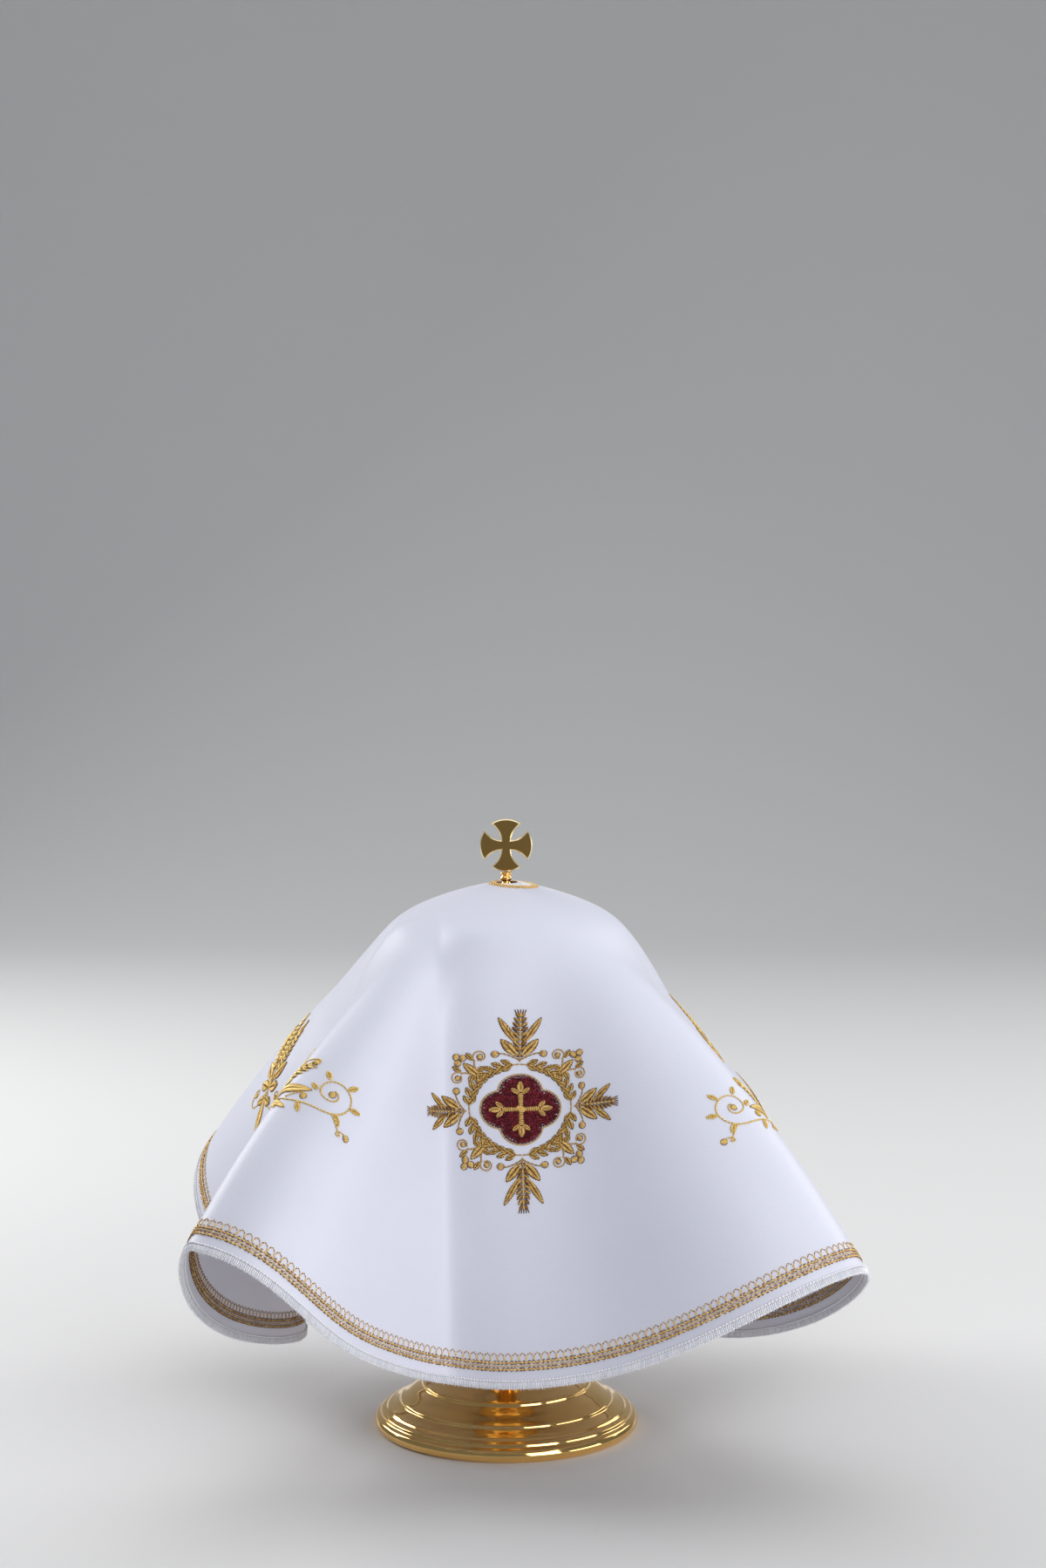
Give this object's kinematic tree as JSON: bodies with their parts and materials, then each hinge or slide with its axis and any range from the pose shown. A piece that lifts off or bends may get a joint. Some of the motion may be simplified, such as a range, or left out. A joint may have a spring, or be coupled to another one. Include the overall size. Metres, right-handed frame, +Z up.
{
  "type": "ciborium veil on a ciborium",
  "caption": "White satin circle of cloth draped in flutes over a lidded cup with a stepped round foot, the cross on the lid standing up through the neck hole.",
  "frame": {"origin": "centre of the underside of the ciborium's foot", "axes": "+Z up, the veil's embroidered front faces -Y, +X to the right seen from the front"},
  "size_m": [0.3282, 0.391, 0.3],
  "materials": {
    "satin": "white satin with gold and crimson thread embroidery",
    "gold_plate": "polished gold plate",
    "dull_gold": "dulled gilt brass"
  },
  "bodies": {
    "root": {"veil": "satin", "foot": "gold_plate", "knop": "gold_plate", "cup": "gold_plate", "lid": "gold_plate", "finial": "gold_plate", "cross": "dull_gold"}
  },
  "joints": []
}
